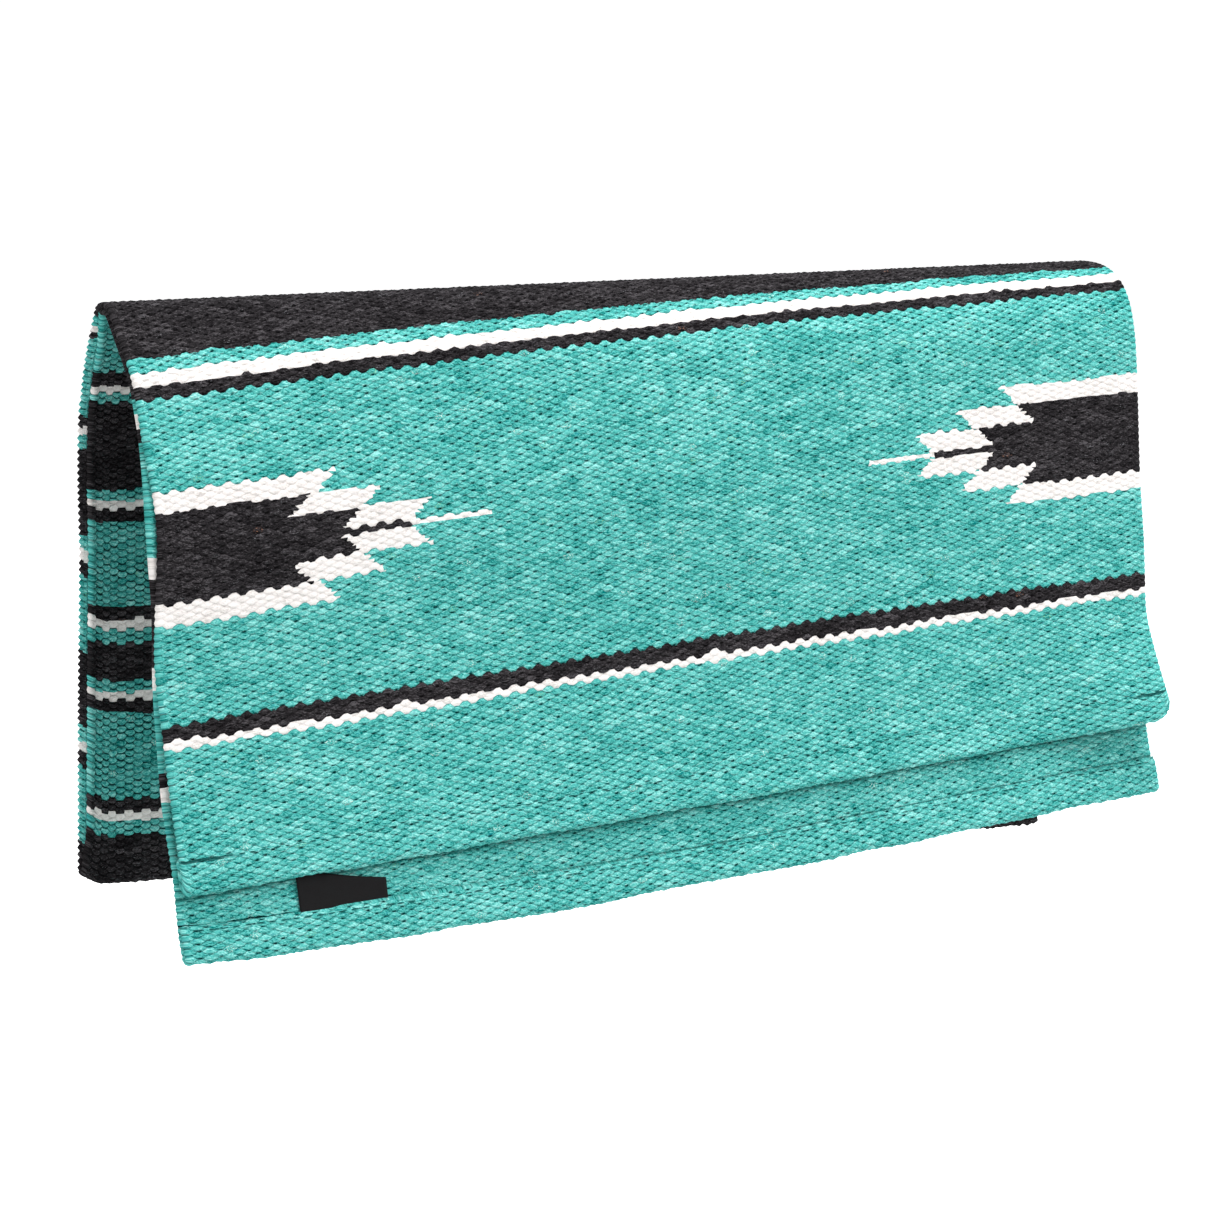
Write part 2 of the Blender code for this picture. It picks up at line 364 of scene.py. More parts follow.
tilt_table, y_table, z_table = drape_tables()


def lookup(table, distance, drop):
    """A tabled value between its four nearest places."""
    column = np.clip(distance / width, 0, 1) * (table_columns - 1)
    row = np.clip((drop - table_drops[0]) / table_step, 0, len(table_drops) - 1)
    i = np.minimum(column.astype(int), table_columns - 2)
    j = np.minimum(row.astype(int), len(table_drops) - 2)
    return inside_cell(table, i, j, column - i, row - j)


def sway(distance, drop):
    """How far both layers together bulge in or out, nothing at the ridge."""
    wave = sway_wave_share * waves(sway_wave, distance, drop)
    ripple = (1 - sway_wave_share) * waves(sway_ripple, distance, drop)
    return sway_depth * smooth(abs(drop) / sway_start) * (wave + ripple)


def place(distance, drop, depth):
    """Points at those distances from the near end, drops from the crest and depths in the cloth."""
    rib_wander = wander_along * waves(rib_wave, distance, drop)
    row_wander = wander_down * waves(row_wave, distance, drop)
    drop = drop + row_wander
    tilt = lookup(tilt_table, distance, drop)
    depth = depth + sway(distance, drop)
    y = lookup(y_table, distance, drop) + depth * np.sin(tilt)
    z = lookup(z_table, distance, drop) - depth * np.cos(tilt)
    return np.stack([distance + rib_wander - width / 2, y, z], axis=-1)


def weft_sag(distance, height):
    """How far a weft row at that height above the hem lies below a straight row."""
    arch = (2 * distance / width - 1) ** 2 - 1 / 3
    lean = 1 / 2 - distance / width
    return swung(bow_swings, height) * arch - swung(skew_swings, height) * lean


def corner_rise(distance):
    """How much shorter the outer front hangs where its hem's corners are rounded."""
    rise = 0
    for radius, away in zip(corner_radii, (distance, width - distance)):
        rise = rise + radius - np.sqrt(radius**2 - np.clip(radius - away, 0, radius) ** 2)
    return rise


def outer_end(distance):
    return between(front_drop, distance)


def inner_end(distance):
    belly = inner_belly * np.sin(np.pi * np.clip(distance / width, 0, 1) ** belly_lean)
    return outer_end(distance) + between(inner_overhang, distance) + belly


def back_end(distance):
    return between(back_drop, distance)


def back_corner_rise(distance):
    """How much shorter the back hangs at its near corner."""
    return fold_rise * np.clip(1 - distance / fold_rise_reach, 0, 1) ** 2


def outer_front_depth(distance, drop):
    """How deep the outer layer's outer face lies: at 0, but its far bottom corner curls outward."""
    along = smooth((distance - (width - far_curl_width)) / far_curl_width)
    down = smooth((drop - (outer_end(distance) - far_curl_height)) / far_curl_height)
    return -far_curl_reach * along * down


def inner_front_depth(distance, drop):
    """How deep the inner layer's outer face lies: under the outer layer, and clear of its hem."""
    start = outer_end(distance) - hem_height - hem_flare_start - hem_flare_run
    return layer_depth + hem_stand_off * smooth((drop - start) / hem_flare_run)


# Weave pattern


def striped(stripes, height):
    """The yarn at each height above the hem."""
    tops = np.cumsum([stripe[1] for stripe in stripes])
    yarns = np.array([stripe[0] for stripe in stripes] + [black])
    return yarns[np.searchsorted(tops, height)]


def arrowed(yarn, along, up, exact_up, end):
    """That yarn with the stepped arrowhead over it, along from the blanket's end, up from its middle.

    up is the whole float's height and exact_up is the place's own, so level edges scallop a little.
    """
    side = abs(exact_up + arrow_scallop_share * (up - exact_up))
    step = np.clip(((side - arrow_core) / arrow_tier).astype(int), 0, arrow_tiers - 1)
    slant = arrow_slant * np.clip((abs(exact_up) - arrow_core) / arrow_tier - step, 0, 1)
    white_edge = np.array(arrow_white[end])[step] + slant
    black_edge = np.array(arrow_black[end])[step] + slant
    whole = side < arrow_core + arrow_tiers * arrow_tier
    thin_side = abs(exact_up + arrow_spike_share * (up - exact_up))
    spike = (thin_side < arrow_core) & (along < arrow_spike[end])
    yarn = np.where((whole & (along < white_edge)) | spike, white, yarn)
    dark = (side < arrow_core + (arrow_tiers - 1) * arrow_tier) & (along < black_edge)
    bar = (side < arrow_bar_half) & (along < arrow_bar[end])
    return np.where(dark | bar, black, yarn)


def patterned(stripes):
    """The yarn of a layer with those stripes, by distance and by height of the float and its own."""

    def yarn_at(distance, height, exact, shares):
        yarn = striped(stripes, exact + shares * (height - exact))
        for end, along in enumerate((distance, width - distance)):
            middle = arrow_middle[end]
            yarn = arrowed(yarn, along, height - middle, exact - middle, end)
        return yarn

    return yarn_at


outer_yarn = patterned(outer_stripes)
inner_yarn = patterned(inner_stripes)


# Cloth meshes


def rib_lines(count):
    """Distances of evenly counted lines across the ribs: the outermost ribs are narrower."""
    share = np.linspace(0, 1, count)
    rib = share * rib_count
    loss = edge_rib_loss * (np.clip(rib, 0, 1) + np.clip(rib - rib_count + 1, 0, 1) - 2 * share)
    return width * (share * (1 + rib_spread * (1 - share)) - loss / rib_count)


rib_edges = rib_lines(rib_count + 1)
rib_numbers = np.arange(rib_count + 1)


def rib_at(distance):
    """Which rib a distance from the near end lies in, as a fraction."""
    return np.interp(distance, rib_edges, rib_numbers)


def rib_middle(rib):
    """The distance of the middle of a rib from the near end."""
    return np.interp(rib + 0.5, rib_numbers, rib_edges)


def float_phase(row, rib):
    """How far a row lies from the middle of its float: 0 at the middle, 2 at the gap between two."""
    return (row + 2 * (rib % 2)) % rows_per_float


def float_middle(row, rib):
    """The middle row of the float that holds the faces from that row up to the next."""
    shift = 2 * (rib % 2)
    return rows_per_float * ((row + 2 + shift) // rows_per_float) - shift


# One loop of points round a layer: two to each rib on the seen face, round the far edge, few on the
# hidden face and round the near edge
seen_count = 2 * rib_count + 1
edge_angles = np.radians([45, 90, 135])
edge_count = len(edge_angles)
far_edge = slice(seen_count, seen_count + edge_count)
near_edge = slice(-edge_count, None)


def loop_lines():
    """The distance of each point of a loop from the near end, and its lift from the cloth's middle."""
    seen = middle_depth + rib_lines(seen_count) * (1 - cloth / width)
    swing = (1 - np.cos(np.linspace(0, np.pi, hidden_columns))) / 2
    hidden = width - middle_depth - swing * (width - cloth)
    round_edge = middle_depth * np.sin(edge_angles)
    fall = middle_depth * np.cos(edge_angles)
    far = width - middle_depth + round_edge
    near = middle_depth - round_edge
    distance = np.concatenate([seen, far, hidden, near])
    flat = np.full(seen_count, middle_depth)
    return distance, np.concatenate([flat, fall, np.full(hidden_columns, -middle_depth), -fall])


loop_distance, loop_lift = loop_lines()


def layer_rows(heights, end, depth):
    """Rows at those heights above the hem, as drop, depth of the cloth's middle and way outward."""
    height = heights[:, None] + 0 * loop_distance
    rounded = corner_rise(loop_distance) * (1 - smooth(height / corner_fade))
    rise = rounded if end is outer_end else 0
    drop = end(loop_distance) - height + weft_sag(loop_distance, height) - rise
    return drop, depth(loop_distance, drop) + middle_depth, 0 * drop, 0 * drop - 1


def turned_rows(angles, end, depth, turn):
    """Rows round half a turn at the hem: inward where turn is 1 and outward where it is -1."""
    angle = angles[:, None] + 0 * loop_distance
    rise = corner_rise(loop_distance) if end is outer_end else 0
    low = end(loop_distance) - roll_radius + weft_sag(loop_distance, roll_radius) - rise
    drop = low + roll_middle_radius * np.sin(angle)
    bottom = depth(loop_distance, low) + middle_depth
    middle = bottom + turn * roll_middle_radius * (1 - np.cos(angle))
    return drop, middle, turn * np.sin(angle), -np.cos(angle)


def strip_rows(heights, end, depth, turn):
    """Rows of a hem's strip, from the half turn up to its edge, which thins towards the layer."""
    drop, middle, _, _ = layer_rows(heights, end, depth)
    thin = 1 - strip_thinning * smooth((heights - hem_height + strip_edge) / strip_edge)[:, None]
    middle = middle + turn * (2 * roll_middle_radius - (1 - thin) * middle_depth)
    return drop, middle, 0 * drop, 0 * drop + thin


def back_rows(seam_height, front_end, top_depth, count):
    """Rows from the ridge's seam down the back to its fold, shared out evenly."""
    share = np.linspace(0, 1, count + 1)[:, None]
    low = back_end(loop_distance) - back_corner_rise(loop_distance)
    bottom = front_end(loop_distance) + low - roll_radius
    height = seam_height + share * (bottom - seam_height)
    drop = front_end(loop_distance) - height
    drop = drop + (1 - smooth(share * sag_fading)) * weft_sag(loop_distance, height)
    return drop, 0 * drop + top_depth + middle_depth, 0 * drop, 0 * drop - 1


def fold_rows(angles):
    """Rows round the half turn at the bottom of the back, from the outer layer into the inner one."""
    angle = angles[:, None] + 0 * loop_distance
    low = back_end(loop_distance) - roll_radius - back_corner_rise(loop_distance)
    drop = -(low + roll_middle_radius * np.sin(angle))
    middle = middle_depth + roll_middle_radius * (1 - np.cos(angle))
    return drop, middle, -np.sin(angle), -np.cos(angle)


def float_relief(rows, columns):
    """How the seen face's points are raised, leaned along the ribs' width and slid down the drape.

    columns is true where the ribs stand apart as columns of beads, as on the inside of the back.
    """
    row = rows[:, None]
    column = np.arange(seen_count)[None]
    rib = np.minimum(column // 2, rib_count - 1)
    phase = float_phase(row, rib)
    crest = column % 2 == 1
    middle = row - ((phase + 1) % rows_per_float - 1)
    in_float = crest & (phase != 2)
    rise = np.array(crest_relief)[phase] + float_rise_spread * normal(rise_draw, middle, rib) * in_float
    groove = column_groove if columns else groove_relief
    tips = np.where(phase % 2 == 0, groove if columns else tip_relief, groove)
    rise = np.where(crest, rise, tips) + vertex_spread * normal(point_rise_draw, row, column)
    toward = np.array([-1, 0, 1, 0])[phase] * (column_reach if columns else tip_reach)
    lean = np.where(crest, float_lean_spread * normal(lean_draw, middle, rib), toward)
    lean = lean + 2 * vertex_spread * normal(point_lean_draw, row, column)
    slide = np.where(in_float, float_slide_spread * normal(slide_draw, middle, rib), 0)
    for side, rib_there in ((0, 0), (-1, rib_count - 1)):
        beads = bead_profile[float_phase(rows, rib_there)]
        rise[:, side] = selvedge_bead / 2 * beads
        lean[:, side] = 0
        beside = 1 if side == 0 else -2
        rise[:, beside] *= np.where(beads < 0, edge_gap_share, 1)
    return rise, lean, slide


def near_shift(name, drop):
    """How far a layer's near edge moves in from the outer layer's, down the front and the back."""
    if name == "inner_back":
        low = back_end(0) + drop
        return back_inset * smooth(-drop / inset_run) * smooth(low / inset_run)
    bumps = {"outer_front": outer_bumps, "inner_front": inner_bumps, "inner_hem": inner_bumps}
    out = [size * smooth(1 - abs(drop - middle) / run) for size, middle, run in bumps.get(name, ())]
    return 0 * drop - sum(out)


def woven(name, parts, numbers, heights, yarn_at, seen, material):
    """A closed layer of cloth. parts are its rows, and numbers place each in the weave's order.

    seen is 1 where the weave shows on the outward face and -1 where it shows on the inward one.
    """
    columns = name == "inner_back"
    drop, middle, out_drop, out_depth = [np.concatenate(values) for values in zip(*parts)]
    offset = loop_lift + 0 * drop
    spread = loop_distance + 0 * drop
    spread = spread + near_shift(name, drop) * (1 - smooth(loop_distance / near_fade))
    rise, lean, slide = float_relief(numbers, columns)
    hanging = smooth((heights - roll_radius) / roll_radius)[:, None]
    offset[:, :seen_count] += rise
    spread[:, :seen_count] += lean
    drop[:, :seen_count] += slide * hanging
    bead = back_selvedge_bead if name == "outer_back" else selvedge_bead
    round_edge = bead * np.sin(edge_angles)
    spread[:, far_edge] += round_edge * bead_profile[float_phase(numbers, rib_count - 1)][:, None]
    spread[:, near_edge] -= round_edge * bead_profile[float_phase(numbers, 0)][:, None]
    offset = offset * seen
    points = place(spread, drop + out_drop * offset, middle + out_depth * offset)
    item = loft(name, points, seen, material)
    weave_attributes(item.data, numbers, heights, yarn_at, columns)
    return item


def new_object(name, data):
    item = bpy.data.objects.new(name, data)
    bpy.context.collection.objects.link(item)
    return item


def new_item(name, points, faces, material):
    """A smooth mesh object of those points and faces."""
    mesh = bpy.data.meshes.new(name)
    mesh.from_pydata(points, [], faces)
    mesh.shade_smooth()
    mesh.materials.append(material)
    return new_object(name, mesh)


def cells(first, second):
    """The four-cornered faces between two rows or two grids of points."""
    return np.stack([first[:-1], first[1:], second[1:], second[:-1]], axis=-1).reshape(-1, 4)


def loft(name, points, seen, material):
    """A closed piece from loops of points, with its two ends capped."""
    index = np.arange(points.size // 3).reshape(points.shape[:2])
    quads = cells(index, np.roll(index, -1, axis=1))
    caps = np.stack([index[0], index[-1][::-1]])
    if seen < 0:
        quads = quads[:, ::-1]
        caps = caps[:, ::-1]
    return new_item(name, points.reshape(-1, 3).tolist(), quads.tolist() + caps.tolist(), material)


def face_ribs():
    """The rib that each face round a loop belongs to. The faces round an edge keep to its last rib."""
    rib = np.minimum(np.arange(len(loop_distance)) // 2, rib_count - 1)
    rib[near_edge] = 0
    hidden = slice(seen_count + edge_count, -edge_count)
    rib[hidden] = rib_at(loop_distance[hidden]).astype(int) % rib_count
    return rib


def set_faces(mesh, name, values):
    """Store one number for each face of the rows, and the last one for the caps."""
    whole = np.full(len(mesh.polygons), values.reshape(-1)[-1], np.float32)
    whole[: values.size] = values.reshape(-1)
    mesh.attributes.new(name, "FLOAT", "FACE").data.foreach_set("value", whole)


def painted_crease_shade(name, distance, height):
    """Painted shade where thread presses into the cloth, and a painted shadow under the outer hem."""
    if name == "inner_front":
        # Painted shade in the line along the thread over the inner hem's strip
        line = shade_line_half - abs(height - hem_height - shade_line_rise)
        thread_shade_line = smooth(line / shade_line_edge) * (1 - shade_line_fading * smooth(distance / width * 2))
        # Painted shadow of the outer hem on the inner layer, just under the hem's edge
        under_hem = inner_end(distance) - height - outer_end(distance)
        hem_shadow_share = hem_edge_shadow * smooth((under_hem + shade_line_half) / shade_line_half)
        return np.maximum(thread_shade_line, hem_shadow_share * (1 - smooth((under_hem - shade_line_rise) / shade_line_half)))
    if name == "outer_front":
        # Painted shade along the outer hem's thread, near both ends
        line = shade_line_half - abs(height - hem_height + thread_inset)
        near = smooth(distance / shade_line_edge) * (1 - smooth((distance - shade_line_near) / shade_line_run))
        far = smooth((distance - width + shade_line_far) / shade_line_run)
        return stitch_line_shade * smooth(line / shade_line_edge) * np.maximum(near, far)
    return 0 * distance * height


def weave_attributes(mesh, numbers, heights, yarn_at, columns):
    """Each face's yarn, shade, chance and painted crease shade, and each corner's place in the weave."""
    rib = face_ribs()[None]
    low = np.minimum(numbers[1:], numbers[:-1])[:, None]
    middle = float_middle(low, rib)
    order = np.argsort(numbers)
    float_height = np.interp(middle, numbers[order], heights[order])
    float_height = float_height + scallop_jitter * (chance(jitter_draw, middle, rib) - 0.5)
    exact_height = (heights[1:] + heights[:-1])[:, None] / 2 + 0 * middle
    exact_distance = (loop_distance + np.roll(loop_distance, -1)) / 2 + 0 * middle
    shares = np.interp(float_height, scallop_heights, scallop_shares)
    shares = np.minimum(shares + scallop_spread * (chance(share_draw, middle, rib) - 0.5), 1)
    set_faces(mesh, "yarn", yarn_at(exact_distance, float_height, exact_height, shares))
    cell_distance = rib_middle(rib)
    streak = value_noise(cell_distance / streak_length, middle * streak_pace + streak_start, streak_draw)
    patch = value_noise(cell_distance / patch_length, middle / patch_rows, patch_draw)
    shade = streak_shade * streak + patch_shade * patch + float_shade * normal(tone_draw, middle, rib)
    set_faces(mesh, "shade", shade)
    chances = chance(chance_draw, middle, rib)
    edge_chances = edge_chance_low + edge_chance_spread * chances
    chances = np.where((rib == 0) | (rib == rib_count - 1), edge_chances, chances)
    set_faces(mesh, "chance", chances)
    set_faces(mesh, "columns", 0 * chances + columns)
    # The painted shade of the creases and of the outer hem's shadow, for the material
    set_faces(mesh, "crease_shade", painted_crease_shade(mesh.name, exact_distance, exact_height))
    u = rib_at(loop_distance)
    u[:seen_count] = np.arange(seen_count) / 2
    u[0] = u[near_edge] = edge_place
    u[seen_count - 1] = u[far_edge] = rib_count - edge_place
    loop_u = np.tile(u, len(numbers))
    loop_v = np.repeat(numbers + row_origin, len(u))
    corner = np.empty(len(mesh.loops), np.int32)
    mesh.loops.foreach_get("vertex_index", corner)
    uv = np.stack([loop_u[corner], loop_v[corner]], axis=-1)
    layer = mesh.uv_layers.new(name="weave")
    layer.data.foreach_set("uv", uv.astype(np.float32).reshape(-1))


# Pieces of cloth

half_turn = np.linspace(0, np.pi, roll_steps + 1)
outer_seam = roll_radius + seam_row * row_height
inner_seam = outer_seam + inner_overhang[0]


def make_outer_front(material):
    """The outer layer from the ridge down the front, rolled inward at its hem."""
    numbers = np.arange(seam_row, -1 - roll_steps - outer_strip_steps, -1)
    heights = roll_radius + numbers[: seam_row + 1] * row_height
    strip = np.linspace(roll_radius, hem_height, outer_strip_steps + 1)[1:]
    parts = [
        layer_rows(heights, outer_end, outer_front_depth),
        turned_rows(half_turn[1:], outer_end, outer_front_depth, 1),
        strip_rows(strip, outer_end, outer_front_depth, 1),
    ]
    heights = np.concatenate([heights, np.zeros(roll_steps + outer_strip_steps)])
    return woven("outer_front", parts, numbers, heights, outer_yarn, 1, material)


def back_count(seam_height, front_end):
    """How many rows go down the back at the weave's row height."""
    bottom = front_end(width / 2) + back_end(width / 2) - roll_radius
    return round((bottom - seam_height) / row_height)


def make_outer_back(material):
    """The outer layer from the ridge down the back, and the fold at its bottom."""
    count = back_count(outer_seam, outer_end)
    numbers = seam_row + np.arange(count + roll_steps + 1)
    heights = outer_seam + np.arange(count + 1) * row_height
    parts = [back_rows(outer_seam, outer_end, 0, count), fold_rows(half_turn[1:])]
    heights = np.concatenate([heights, np.full(roll_steps, heights[-1])])
    return woven("outer_back", parts, numbers, heights, outer_yarn, 1, material)


def make_inner_front(material):
    """The inner layer from the ridge down the front. It is finely woven where it can be seen."""
    dense_count = rows_per_float * round((dense_height - roll_radius) / row_height / rows_per_float)
    dense = np.arange(dense_count, -1, -1)
    top = roll_radius + dense_count * row_height
    coarse_count = round((inner_seam - top) / row_height / rows_per_float)
    steps = np.arange(coarse_count, 0, -1)
    heights = np.concatenate([
        top + steps * (inner_seam - top) / coarse_count,
        roll_radius + dense * row_height,
    ])
    numbers = np.concatenate([dense_count + rows_per_float * steps, dense])
    parts = [layer_rows(heights, inner_end, inner_front_depth)]
    return woven("inner_front", parts, numbers, heights, inner_yarn, 1, material)


def make_inner_hem(material):
    """The inner layer's end, rolled outward and up over its own face."""
    strip_count = round((hem_height - roll_radius) / row_height)
    strip = np.linspace(roll_radius, hem_height, strip_count + 1)[1:]
    parts = [
        turned_rows(half_turn, inner_end, inner_front_depth, -1),
        strip_rows(strip, inner_end, inner_front_depth, -1),
    ]
    numbers = np.arange(roll_steps + strip_count + 1)
    heights = np.concatenate([np.zeros(roll_steps + 1), strip])
    return woven("inner_hem", parts, numbers, heights, inner_yarn, -1, material)


def make_inner_back(material):
    """The inner layer from the ridge down the back to the fold. Its weave shows on the inside."""
    count = back_count(inner_seam, inner_end)
    numbers = seam_row + np.arange(count + 1)
    heights = inner_seam + np.arange(count + 1) * row_height
    parts = [back_rows(inner_seam, inner_end, layer_depth, count)]
    return woven("inner_back", parts, numbers, heights, inner_yarn, -1, material)


# Materials


class Nodes:
    """Short calls that add shader nodes to a material or the world."""

    def __init__(self, owner, shader="Principled BSDF"):
        owner.use_nodes = True
        self.owner = owner
        self.tree = owner.node_tree
        self.shader = self.tree.nodes[shader]

    def feed(self, node, inputs):
        """Set or link each of those inputs of a node."""
        for key, value in dict(inputs).items():
            if isinstance(value, bpy.types.NodeSocket):
                self.tree.links.new(value, node.inputs[key])
            else:
                node.inputs[key].default_value = value

    def add(self, kind, inputs=(), **settings):
        node = self.tree.nodes.new(kind)
        for key, value in settings.items():
            setattr(node, key, value)
        self.feed(node, inputs)
        return node

    def math(self, operation, *values):
        return self.add("ShaderNodeMath", dict(enumerate(values)), operation=operation).outputs[0]

    def chain(self, operation, first, *others):
        """The values, joined one after another by that operation."""
        for other in others:
            first = self.math(operation, first, other)
        return first

    def plus(self, *values):
        return self.chain("ADD", *values)

    def times(self, *values):
        return self.chain("MULTIPLY", *values)

    def largest(self, *values):
        return self.chain("MAXIMUM", *values)

    def sawtooth(self, value):
        """From -1 up to 1 between each whole number and the next."""
        return self.math("SUBTRACT", self.times(self.math("FRACT", value), 2.0), 1.0)

    def ramp(self, value, low, high, to_low=0.0, to_high=1.0):
        """An even swing between two values as the given one runs from low to high."""
        inputs = {"Value": value, "From Min": low, "From Max": high, "To Min": to_low, "To Max": to_high}
        return self.add("ShaderNodeMapRange", inputs, interpolation_type="SMOOTHSTEP").outputs[0]

    def mix(self, share, first, second):
        """Two colours mixed. 6 and 7 are the node's colour inputs, and 2 is its colour output."""
        sockets = {0: share, 6: first, 7: second}
        return self.add("ShaderNodeMix", sockets, data_type="RGBA").outputs[2]

    def scaled(self, vector, *scales):
        return self.add("ShaderNodeVectorMath", {0: vector, 1: scales}, operation="MULTIPLY").outputs[0]

    def noise(self, vector, scale, detail, roughness):
        inputs = {"Vector": vector, "Scale": scale, "Detail": detail, "Roughness": roughness}
        return self.add("ShaderNodeTexNoise", inputs).outputs["Fac"]

    def attribute(self, name):
        return self.add("ShaderNodeAttribute", attribute_name=name).outputs["Fac"]

    def finish(self, colour, height, distance, strength, roughness, specular):
        """The material, once that colour and a bump of that height, in metres, are joined to it."""
        bump = self.add("ShaderNodeBump", {"Height": height, "Distance": distance, "Strength": strength})
        inputs = {"Normal": bump.outputs[0], "Base Color": colour, "Roughness": roughness}
        self.feed(self.shader, {**inputs, "Specular IOR Level": specular})
        return self.owner


def colour(red, green, blue):
    """An sRGB colour as the shader's linear colour."""
    parts = [value / 255 for value in (red, green, blue)]
    linear = [p / 12.92 if p <= 0.04045 else ((p + 0.055) / 1.055) ** 2.4 for p in parts]
    return (*linear, 1.0)


# Each yarn's middle, light and dark tone, and the painted shade colour of the crevices between its floats
yarn_tones = (
    ((86, 188, 181), (156, 229, 223), (0, 118, 113), (0, 42, 42)),
    ((42, 40, 42), (86, 83, 86), (8, 7, 9), (3, 3, 4)),
    ((244, 239, 236), (251, 247, 245), (216, 210, 206), (150, 142, 138)),
)

# How near a face's number is to its yarn's, a rib and a row in millimetres, and the plies' slant
yarn_match = 0.3
rib_millimetres = 6.9
row_millimetres = 1.3125
ply_twist = 0.45

# The wool's noises: waves to a millimetre across the rib and along the drape, detail and roughness
streak_noise = (0.30, 1.05, 3.0, 0.65)
ply_noise = (0.50, 1.35, 2.0, 0.5)
patch_noise = (0.10, 0.38, 2.0, 0.5)
speck_noise = (0.30, 0.6, 1.0, 0.4)
fuzz_noise = (1.0, 1.3, 2.0, 0.6)

# How much streaks, plies, patches, fuzz and a float's shade sway the tone, and its full swing
tone_weights = (2.2, 1.8, 0.9, 1.2)
shade_weight = 0.34
tone_swing = 0.62

# Blue specks in the teal, and odd fibres: their yarn, tone, the chances that have them and how
# strongly, and the fuzz that shows them. A ramp is where it starts and ends, and its values there
blue_tone = (10, 126, 146)
blue_ramp = (0.62, 0.78, 0.0, 0.6)
odd_fibres = (
    (teal, (150, 190, 96), (0.9920, 0.9925, 0.0, 0.7), (0.56, 0.64)),
    (teal, (222, 232, 222), (0.0150, 0.0145, 0.0, 0.9), (0.56, 0.64)),
    (black, (168, 170, 176), (0.930, 0.935, 0.0, 0.7), (0.62, 0.70)),
    (black, (190, 128, 92), (0.9955, 0.9960, 0.0, 0.9), (0.60, 0.68)),
)

# The painted shade in the crevices round a float, as ramps over its place from -1 to 1, and how
# uneven and faint it is
belly_ramp = (1.0, 0.35)
below_ramp = (-0.42, -0.80)
above_ramp = (0.78, 1.0, 0.0, 0.7)
shoulder_ramp = (0.20, 0.55, 0.0, 0.7)
beside_ramp = (0.66, 0.98)
rim_ramp = (0.70, 1.15)
rim_side_share = 0.9
uneven_chance = 0.6
uneven_ramp = (0.35, 1.0, 0.35, 1.0)
white_crevice_shade = 0.22

# The bump of the weave, and finishes: height in metres, strength, roughness and specular level
oval_width = 1.35
oval_bump = 0.75
grain_bump = 0.30
weave_finish = (0.001, 0.85, 0.95, 0.06)
thread_tone = (24, 98, 95)
thread_finish = (0.0004, 0.6, 0.8, 0.12)
label_tone = (15, 14, 16)
label_finish = (0.0004, 0.6, 0.55, 0.12)

# The grains of thread and label to a metre, their detail and roughness, and how dark they get
thread_grain = (900, 3.0, 0.6)
label_grain = (1400, 3.0, 0.6)
grain_dimming = 0.6


def float_shape(n, u, row):
    """Where a point lies across its rib and along the drape on its float, both from -1 to 1."""
    shifted = n.plus(row, n.times(n.math("MODULO", n.math("FLOOR", u), 2.0), 2.0))
    brick = n.plus(n.math("DIVIDE", shifted, float(rows_per_float)), 0.5)
    return n.sawtooth(u), n.sawtooth(brick)


def painted_crevice_shade(n, across, along, columns, unevenness):
    """Painted shade in a float's crevices: most below its belly, a little above and beside it."""
    side = n.math("ABSOLUTE", across)
    belly = n.ramp(side, *belly_ramp)
    below = n.times(n.ramp(along, *below_ramp), belly)
    above = n.times(n.ramp(along, *above_ramp), belly)
    shoulder = n.ramp(n.math("ABSOLUTE", along), *shoulder_ramp)
    beside = n.times(n.ramp(side, *beside_ramp), shoulder)
    reach = n.plus(n.times(n.math("POWER", side, 2.0), rim_side_share), n.math("POWER", along, 2.0))
    rim = n.times(n.ramp(reach, *rim_ramp), columns)
    return n.times(n.largest(below, above, beside, rim), unevenness)


def oval_height(n, across, along):
    """How high an oval float stands, from 0 at its rim to 1 at its middle."""
    wide = n.math("POWER", n.math("DIVIDE", n.math("ABSOLUTE", across), oval_width), 2.0)
    high = n.math("POWER", n.math("ABSOLUTE", along), 2.0)
    return n.math("SQRT", n.largest(n.chain("SUBTRACT", 1.0, wide, high), 0.0))


def wool_noise(n, vector, kind):
    across, along, detail, roughness = kind
    return n.noise(n.scaled(vector, across, along, 1.0), 1.0, detail, roughness)


def toned_yarn(n, tones, light, dark):
    middle, lit, dim, _ = [colour(*tone) for tone in tones]
    return n.mix(dark, n.mix(light, middle, lit), dim)


